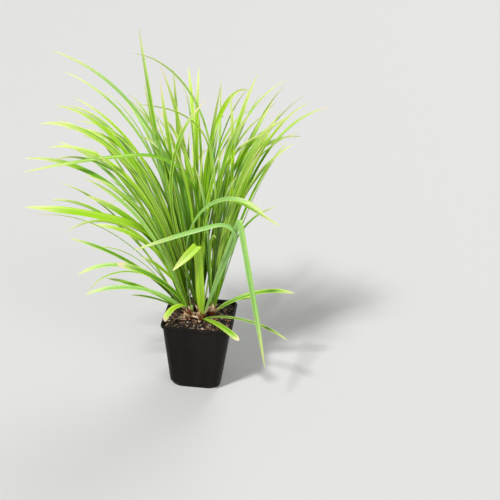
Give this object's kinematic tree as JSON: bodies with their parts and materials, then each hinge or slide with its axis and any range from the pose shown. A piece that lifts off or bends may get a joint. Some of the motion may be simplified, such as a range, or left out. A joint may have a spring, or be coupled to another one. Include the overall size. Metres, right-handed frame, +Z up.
{
  "type": "potted carex sedge",
  "caption": "Variegated carex sedge in a square nursery pot: a fountain of long arching yellow-green blades grown from a tight crown in dark soil.",
  "frame": {"origin": "middle of the pot's foot, on the surface that it stands on", "axes": "+Z up, the pot's sides facing X and Y; -X is the side that the longest blades arch to, -Y is the side that the picture shows"},
  "size_m": [0.3671, 0.2971, 0.4496],
  "materials": {
    "pot": "satin",
    "soil": "matte",
    "leaf": "satin"
  },
  "bodies": {
    "root": {"pot": "pot", "soil": "soil", "shoot_middle": "leaf", "shoot_left": "leaf", "shoot_front_left": "leaf", "shoot_front": "leaf", "shoot_right": "leaf", "shoot_back_left": "leaf", "shoot_back": "leaf", "shoot_back_right": "leaf"}
  },
  "joints": []
}
